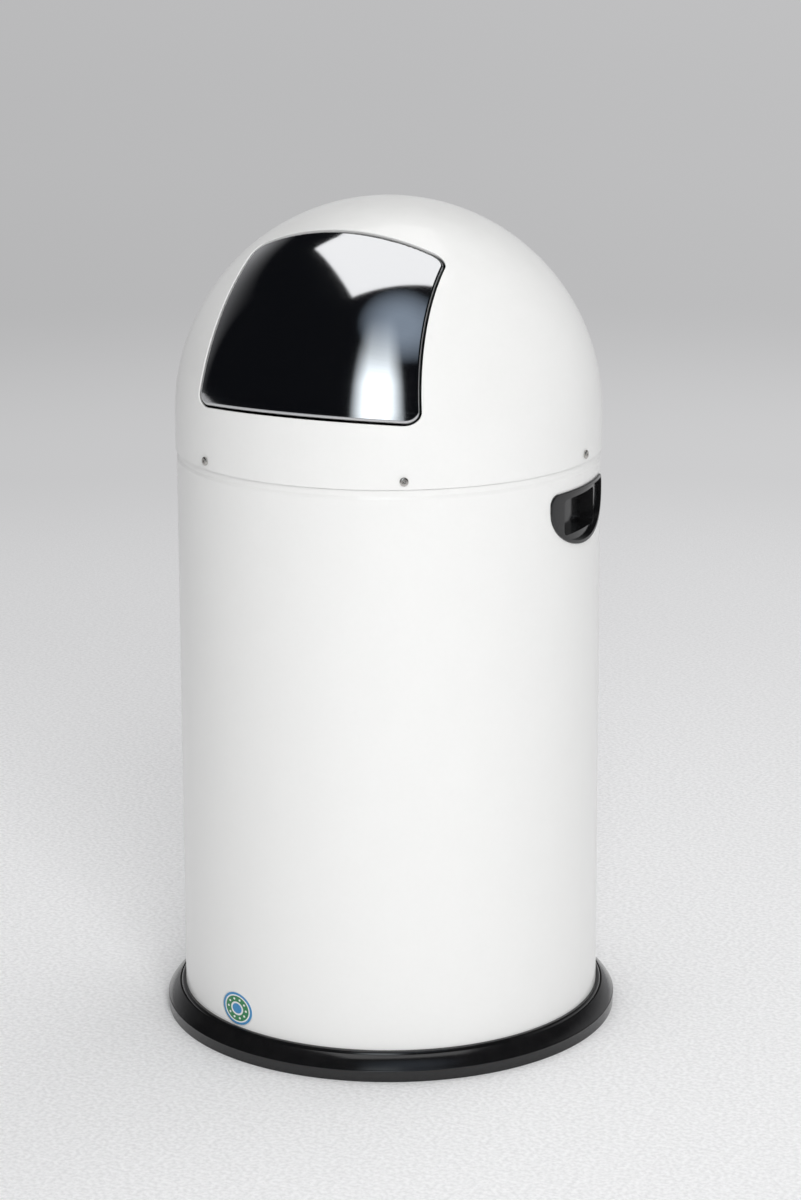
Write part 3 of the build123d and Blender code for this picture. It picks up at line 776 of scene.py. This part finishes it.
# %% Bake a tree into a piece
def baked(name, tree, template_mesh, **inputs):
    template = bpy.data.objects.new(name + "_template", template_mesh)
    bpy.context.scene.collection.objects.link(template)
    carrier = bpy.data.objects.new(name + "_carrier", bpy.data.meshes.new(name + "_carrier"))
    bpy.context.scene.collection.objects.link(carrier)
    modifier = carrier.modifiers.new("rule", "NODES")
    modifier.node_group = tree
    known = {s.name: s.identifier for s in tree.interface.items_tree if s.in_out == "INPUT"}
    modifier[known["Template"]] = template
    for label, value in inputs.items():
        modifier[known[label.replace("_", " ")]] = value
    carrier.update_tag()
    graph = bpy.context.evaluated_depsgraph_get()
    graph.update()
    mesh = bpy.data.meshes.new_from_object(carrier.evaluated_get(graph))
    mesh.name = name
    piece = bpy.data.objects.new(name, mesh)
    bpy.context.scene.collection.objects.link(piece)
    bpy.data.objects.remove(carrier)
    bpy.data.objects.remove(template)
    return piece


# %% Dome screws
screws = baked(
    "cross_screws",
    fastener_ring,
    screw_mesh,
    Count=SCREW_COUNT,
    Radius=DOME_R,
    Height=SCREW_Z,
    First_turn=FIRST_SCREW,
    Twist=math.radians(90),
    Seed=4,
    Finish=bright_plate,
)
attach(screws, "lid")
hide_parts("dome_screws")
print("screws:", len(screws.data.polygons), "faces in", [round(v, 4) for v in screws.dimensions])

# %% Dome nuts
nuts = baked(
    "hex_nuts",
    fastener_ring,
    nut_mesh,
    Count=SCREW_COUNT,
    Radius=NUT_INNER_R,
    Height=SCREW_Z,
    First_turn=FIRST_SCREW,
    Twist=math.radians(60),
    Seed=9,
    Finish=bright_plate,
)
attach(nuts, "lid")
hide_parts("dome_nuts")
print("nuts:", len(nuts.data.polygons), "faces")

# %% [markdown]
# ## Base ring
# The ring round the foot has a slope that shows every flat facet, as it is black and glossy. The
# solid's own mesh has few rows there. The ring is turned again on the lathe, from the same outline
# with more points on its bead, slope and lip, and it clears the body by a hair.


# %% Ring outline and mesh
def arc_through(first, middle, last, steps):
    """Points from first to last on the circle through three points, without the first one."""
    (ax, ay), (bx, by), (cx, cy) = first, middle, last
    a2, b2, c2 = ax * ax + ay * ay, bx * bx + by * by, cx * cx + cy * cy
    twice = 2 * (ax * (by - cy) + bx * (cy - ay) + cx * (ay - by))
    centre_x = (a2 * (by - cy) + b2 * (cy - ay) + c2 * (ay - by)) / twice
    centre_y = (a2 * (cx - bx) + b2 * (ax - cx) + c2 * (bx - ax)) / twice
    radius = math.hypot(ax - centre_x, ay - centre_y)
    start = math.atan2(ay - centre_y, ax - centre_x)
    sweep = math.remainder(math.atan2(cy - centre_y, cx - centre_x) - start, 2 * math.pi)
    angles = [start + sweep * step / steps for step in range(1, steps + 1)]
    return [(centre_x + radius * math.cos(angle), centre_y + radius * math.sin(angle)) for angle in angles]


def foot_ring_outline():
    """The ring's section in millimetres, as pairs of radius and height."""
    outline = [(198.2, 0.0), (200.6, 0.0), (200.6, 8.8)]
    outline += arc_through(outline[-1], (201.0, 9.5), (200.6, 10.2), 8)
    outline += arc_through(outline[-1], (196.2, 15.9), (190.6, 20.3), 18)
    outline += [(189.9, 19.3), (189.2, 20.3)]
    outline += arc_through(outline[-1], (188.36, 21.84), (186.68, 22.5), 8)
    outline += [(185.03, 22.5), (185.03, 4.99), (178.0, 4.99), (178.0, 2.6), (187.4, 2.6)]
    outline += [(187.4, 15.5), (190.6, 15.5), (198.2, 8.8)]
    return outline


RING_SIDES = 240
RING_TURNS = [step * 360 / RING_SIDES for step in range(RING_SIDES)]
ring_rows = [(height / 1000, reach / 1000) for reach, height in foot_ring_outline()]
ring_mesh = smoothed(lathe_mesh("moulded_ring", ring_rows, RING_TURNS, closed=True))
ring_mesh.materials.append(black_plastic)
foot_ring = bpy.data.objects.new("moulded_ring", ring_mesh)
bpy.context.scene.collection.objects.link(foot_ring)
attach(foot_ring, "can")
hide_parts("base_ring")
print("foot ring:", len(ring_mesh.polygons), "faces, width", round(foot_ring.dimensions.x, 4))

# %% [markdown]
# ## Printed label
# A small oval label sits low on the body, to the left of the front. It carries a plain seal of
# rings and dots in blue, white and green. The label is a thin sheet bent round the body, so its
# pattern is laid out on its own UV map, where the middle is zero and the edge is one.


# %% Label mesh
LABEL_TURN, LABEL_Z = -20.0, 0.0385
LABEL_HALF_WIDE, LABEL_HALF_HIGH, LABEL_THICK = 0.0195, 0.0150, 0.00012
LABEL_LIFT = 0.00001


def label_point(u, v, out):
    """A point of the label: u and v run from -1 to 1 over it, and out is how far it stands off."""
    turn = math.radians(LABEL_TURN) + u * LABEL_HALF_WIDE / BODY_R
    reach = BODY_R + out
    return (reach * math.sin(turn), -reach * math.cos(turn), LABEL_Z + v * LABEL_HALF_HIGH)


def make_label_mesh(steps=12, sides=72):
    shape = bmesh.new()
    layer = shape.loops.layers.uv.new("seal")
    spots = {}
    for ring in range(steps + 1):
        share = ring / steps
        for side_index in range(sides if ring else 1):
            angle = 2 * math.pi * side_index / sides
            u, v = share * math.cos(angle), share * math.sin(angle)
            out = LABEL_THICK if share < 0.97 else LABEL_THICK * 0.8
            spots[ring, side_index] = (shape.verts.new(label_point(u, v, out)), (u, v))
    skirt = []
    for i in range(sides):
        u, v = spots[steps, i][1]
        skirt.append((shape.verts.new(label_point(u, v, LABEL_LIFT)), (u, v)))

    def face(*corners):
        made = shape.faces.new([c[0] for c in corners])
        for loop, corner in zip(made.loops, corners):
            loop[layer].uv = corner[1]
        made.smooth = True

    for i in range(sides):
        j = (i + 1) % sides
        face(spots[0, 0], spots[1, i], spots[1, j])
        for ring in range(1, steps):
            face(spots[ring, i], spots[ring + 1, i], spots[ring + 1, j], spots[ring, j])
        face(spots[steps, i], skirt[i], skirt[j], spots[steps, j])
    mesh = bpy.data.meshes.new("seal_label")
    shape.to_mesh(mesh)
    shape.free()
    return mesh


print("label", 2000 * LABEL_HALF_WIDE, "by", 2000 * LABEL_HALF_HIGH, "mm")


# %% Label print
SEAL_DOTS, DOT_REACH, DOT_TIGHT = 10.0, 0.57, 11.0


def make_label_print():
    """Rings by the distance from the middle, with a circle of pale dots on the green one."""
    material, tree, shader, place = new_finish(
        "printed_seal", (0.8, 0.8, 0.8), 0.3, Coat_Weight=0.3, Coat_Roughness=0.1
    )
    uv = add(tree, "ShaderNodeUVMap", uv_map="seal").outputs[0]
    reach = add(tree, "ShaderNodeVectorMath", operation="LENGTH")
    join(tree, uv, reach.inputs[0])
    blue, white, green = (0.02, 0.24, 0.52), (0.80, 0.82, 0.82), (0.006, 0.20, 0.06)
    stops = ((0.0, blue), (0.30, white), (0.40, green), (0.74, white), (0.82, blue), (0.95, white))
    rings = colour_ramp(tree, reach.outputs["Value"], "CONSTANT", stops)
    split = add(tree, "ShaderNodeSeparateXYZ")
    join(tree, uv, split.inputs[0])
    angle = math_node(tree, "ARCTAN2", split.outputs["Y"], split.outputs["X"])
    wave = math_node(tree, "COSINE", math_node(tree, "MULTIPLY", angle, SEAL_DOTS))
    aside = math_node(tree, "SUBTRACT", reach.outputs["Value"], DOT_REACH)
    steep = math_node(tree, "MULTIPLY", math_node(tree, "ABSOLUTE", aside), DOT_TIGHT)
    band = math_node(tree, "SUBTRACT", 1.0, steep)
    dots = between(tree, math_node(tree, "ADD", wave, band), 1.15, 1.3)
    join(tree, mixed(tree, dots, rings, (0.80, 0.84, 0.80)), shader.inputs["Base Color"])
    paper = place_group(tree, grain, place, Scale=1800.0, Detail=2.0)
    join(tree, between(tree, paper.outputs["Mask"], 0.3, 0.7, 0.24, 0.38), shader.inputs["Roughness"])
    return material


label = bpy.data.objects.new("seal_label", make_label_mesh())
label.data.materials.append(make_label_print())
bpy.context.scene.collection.objects.link(label)
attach(label, "can")
print("label faces:", len(label.data.polygons))

# %% [markdown]
# ## Studio floor
# The can stands on a pale floor that runs far back, where there is no line between floor and wall.
# Far off it is a painted glow that lamps don't light: it darkens with distance as painted falloff
# of light, and is painted a little brighter towards the camera's right. A disc with a colour that
# depends on the distance from its centre darkens like this from every side. Fine noise gives the floor its
# grain.


# %% Floor
FLOOR_R = 40
FAR_REACH = 12.0
# Painted falloff of light: the far glow's level at each share of FAR_REACH, darker further out.
PAINTED_FALLOFF_LEVELS = ((0.0, 0.72), (0.12, 0.655), (0.19, 0.59), (0.32, 0.49), (0.52, 0.50), (1.0, 0.51))
FADE_START, FADE_END = 0.7, 2.2
# Painted side light: the far glow is a little brighter towards the camera's right and darker to its left.
PAINTED_SIDE_SOFT, PAINTED_SIDE_LIMIT, PAINTED_SIDE_LOW, PAINTED_SIDE_HIGH = 2.0, 0.25, 0.93, 1.07


def make_floor_finish():
    """A grainy pale floor near the can, and far off a painted glow of its own that lamps don't change,
    darker with distance and brighter towards one side.
    """
    material, tree, shader, place = new_finish("studio_floor_grain_and_painted_glow", (0.8, 0.8, 0.8), 0.9)
    away = add(tree, "ShaderNodeVectorMath", operation="LENGTH")
    join(tree, place, away.inputs[0])
    tuft = noise(tree, place, scale=260.0, detail=2.5)
    speck = between(tree, tuft.outputs["Fac"], 0.34, 0.66)
    colour = mixed(tree, speck, (0.84, 0.84, 0.845), (0.98, 0.98, 0.985))
    join(tree, colour, shader.inputs["Base Color"])
    bumped(tree, shader, tuft.outputs["Fac"], 0.0015, 0.6)
    # Painted glow: far off, camera and glossy rays see this light instead of the lit floor, darker with
    # distance.
    far = add(tree, "ShaderNodeEmission")
    share = math_node(tree, "DIVIDE", away.outputs["Value"], FAR_REACH)
    stops = [(position, (level, level, level * 1.012)) for position, level in PAINTED_FALLOFF_LEVELS]
    join(tree, colour_ramp(tree, share, "EASE", stops), far.inputs["Color"])
    # Painted light from one side: the glow's strength rises towards the camera's right.
    along = add(tree, "ShaderNodeVectorMath", operation="DOT_PRODUCT")
    join(tree, place, along.inputs[0])
    along.inputs[1].default_value = across
    reach = math_node(tree, "ADD", away.outputs["Value"], PAINTED_SIDE_SOFT)
    painted_side_lean = math_node(tree, "DIVIDE", along.outputs["Value"], reach)
    strength = between(tree, painted_side_lean, -PAINTED_SIDE_LIMIT, PAINTED_SIDE_LIMIT, PAINTED_SIDE_LOW, PAINTED_SIDE_HIGH)
    join(tree, strength, far.inputs["Strength"])
    rays = add(tree, "ShaderNodeLightPath")
    seen = math_node(tree, "MAXIMUM", rays.outputs["Is Camera Ray"], rays.outputs["Is Glossy Ray"])
    seen = math_node(tree, "MAXIMUM", seen, rays.outputs["Is Transmission Ray"])
    distance = between(tree, away.outputs["Value"], FADE_START, FADE_END)
    choice = add(tree, "ShaderNodeMixShader")
    join(tree, math_node(tree, "MULTIPLY", seen, distance), choice.inputs[0])
    join(tree, shader.outputs[0], choice.inputs[1])
    join(tree, far.outputs[0], choice.inputs[2])
    output = [node for node in tree.nodes if node.bl_idname == "ShaderNodeOutputMaterial"][0]
    join(tree, choice.outputs[0], output.inputs[0])
    return material


floor_shape = bmesh.new()
bmesh.ops.create_circle(floor_shape, cap_ends=True, segments=96, radius=FLOOR_R)
floor_mesh = bpy.data.meshes.new("studio_floor")
floor_shape.to_mesh(floor_mesh)
floor_shape.free()
floor_mesh.materials.append(make_floor_finish())
floor = bpy.data.objects.new("studio_floor", floor_mesh)
bpy.context.scene.collection.objects.link(floor)
print("floor radius", FLOOR_R, "m")

# %% [markdown]
# ## Lamps
# Three area lamps light the can: a large one overhead, a tall key lamp in front to the right, and a
# weaker one behind. The overhead lamp also shows in the flap. A mirror would show the hard edges of
# the other two, so gloss doesn't see them, and the world below gives it a softer picture.


# %% Lamps
def soft_lamp(name, place, target, width, height, power, glossy=True, spin=0.0):
    """A rectangle that lights and faces the target, turned about its own axis by spin degrees."""
    data = bpy.data.lights.new(name, "AREA")
    data.shape = "RECTANGLE"
    data.size, data.size_y = width, height
    data.energy = power
    lamp = bpy.data.objects.new(name, data)
    away = Vector(place) - Vector(target)
    spun = Matrix.Rotation(math.radians(spin), 3, "Z").to_quaternion()
    lamp.location = place
    lamp.rotation_euler = (away.to_track_quat("Z", "Y") @ spun).to_euler()
    lamp.visible_camera = False
    lamp.visible_glossy = glossy
    bpy.context.scene.collection.objects.link(lamp)


def from_polar(turn, rise, away, height=0.6):
    """A place seen from the can at that turn from the flap's side and that rise, in degrees."""
    t, r = math.radians(turn), math.radians(rise)
    level = away * math.cos(r)
    return (level * math.sin(t), -level * math.cos(t), height + away * math.sin(r))


OVER_X, OVER_Y, OVER_Z = -0.29, 0.57, 3.5
soft_lamp(
    "overhead", (OVER_X, OVER_Y, OVER_Z), (OVER_X, OVER_Y, 0), width=2.4, height=2.6, power=25, spin=39.5
)
soft_lamp(
    "key", from_polar(35, 24, 3.6), (0, 0, 0.6), width=1.4, height=3.0, power=76, glossy=False
)
soft_lamp(
    "rear", from_polar(160, 40, 4.0), (0, 0, 0.5), width=2.5, height=2.5, power=24, glossy=False
)

# %% [markdown]
# ## World
# The world gives the even base light. Glossy rays see a different picture of it: dark towards the
# front, where the studio is unlit, and pale behind the can, where the backdrop is. On the dark part
# lie a round blue-grey glow and a tall soft box that fades upwards. The world's own direction
# decides where each is, not the camera's.


# %% World
BASE_LIGHT = (0.41, 0.41, 0.415)
DARK_STUDIO = (0.0045, 0.005, 0.0065)
BACKDROP = (0.50, 0.50, 0.51)
SPILL_TURN, SPILL_RISE, SPILL_COLOUR = 38, 56, (0.30, 0.36, 0.44)
SPILL_OUTER, SPILL_INNER = 22, 6
BOX_TURN, BOX_HALF, BOX_SOFT, BOX_COLOUR = 20, 6, 9, (2.0, 2.15, 2.25)
BOX_TOP, BOX_GONE, BOX_FADE = 24, 62, 1.6
FOOT_LOW, FOOT_HIGH, FOOT_SHARE = -4, 9, 0.3


def make_soft_box(tree, split):
    """How bright the tall soft box is in a direction, from 0 to 1."""
    forward = math_node(tree, "MULTIPLY", split.outputs["Y"], -1.0)
    turn = math_node(tree, "ARCTAN2", split.outputs["X"], forward)
    off = math_node(tree, "SUBTRACT", turn, math.radians(BOX_TURN))
    outer, inner = math.radians(BOX_HALF + BOX_SOFT), math.radians(BOX_HALF)
    sides = between(tree, math_node(tree, "ABSOLUTE", off), outer, inner)
    rise = math_node(tree, "ARCSINE", split.outputs["Z"])
    fade = between(tree, rise, math.radians(BOX_GONE), math.radians(BOX_TOP))
    foot = between(tree, rise, math.radians(FOOT_LOW), math.radians(FOOT_HIGH), FOOT_SHARE, 1.0)
    shape = math_node(tree, "MULTIPLY", sides, foot)
    return math_node(tree, "MULTIPLY", shape, math_node(tree, "POWER", fade, BOX_FADE))


def make_world():
    world = bpy.data.worlds.new("studio")
    world.use_nodes = True
    tree = world.node_tree
    tree.nodes.clear()
    direction = add(tree, "ShaderNodeTexCoord")
    split = add(tree, "ShaderNodeSeparateXYZ")
    join(tree, direction.outputs["Generated"], split.inputs[0])
    behind = between(tree, split.outputs["Y"], 0.0, 0.6)
    low = between(tree, split.outputs["Z"], 0.55, 0.15)
    backdrop = math_node(tree, "MULTIPLY", behind, low)
    spill = add(tree, "ShaderNodeVectorMath", operation="DOT_PRODUCT")
    join(tree, direction.outputs["Generated"], spill.inputs[0])
    spill.inputs[1].default_value = from_polar(SPILL_TURN, SPILL_RISE, 1.0, 0.0)
    outer, inner = math.cos(math.radians(SPILL_OUTER)), math.cos(math.radians(SPILL_INNER))
    glow = between(tree, spill.outputs["Value"], outer, inner)
    front = mixed(tree, glow, DARK_STUDIO, SPILL_COLOUR)
    front = mixed(tree, make_soft_box(tree, split), front, BOX_COLOUR)
    seen = mixed(tree, backdrop, front, BACKDROP)
    dark = add(tree, "ShaderNodeBackground")
    join(tree, seen, dark.inputs["Color"])
    even = add(tree, "ShaderNodeBackground")
    even.inputs["Color"].default_value = (*BASE_LIGHT, 1)
    even.inputs["Strength"].default_value = 1.0
    rays = add(tree, "ShaderNodeLightPath")
    choice = add(tree, "ShaderNodeMixShader")
    join(tree, rays.outputs["Is Glossy Ray"], choice.inputs[0])
    join(tree, even.outputs[0], choice.inputs[1])
    join(tree, dark.outputs[0], choice.inputs[2])
    output = add(tree, "ShaderNodeOutputWorld")
    join(tree, choice.outputs[0], output.inputs[0])
    return world


bpy.context.scene.world = make_world()
bpy.context.scene.view_settings.view_transform = "Standard"
print("world:", bpy.context.scene.world.name)
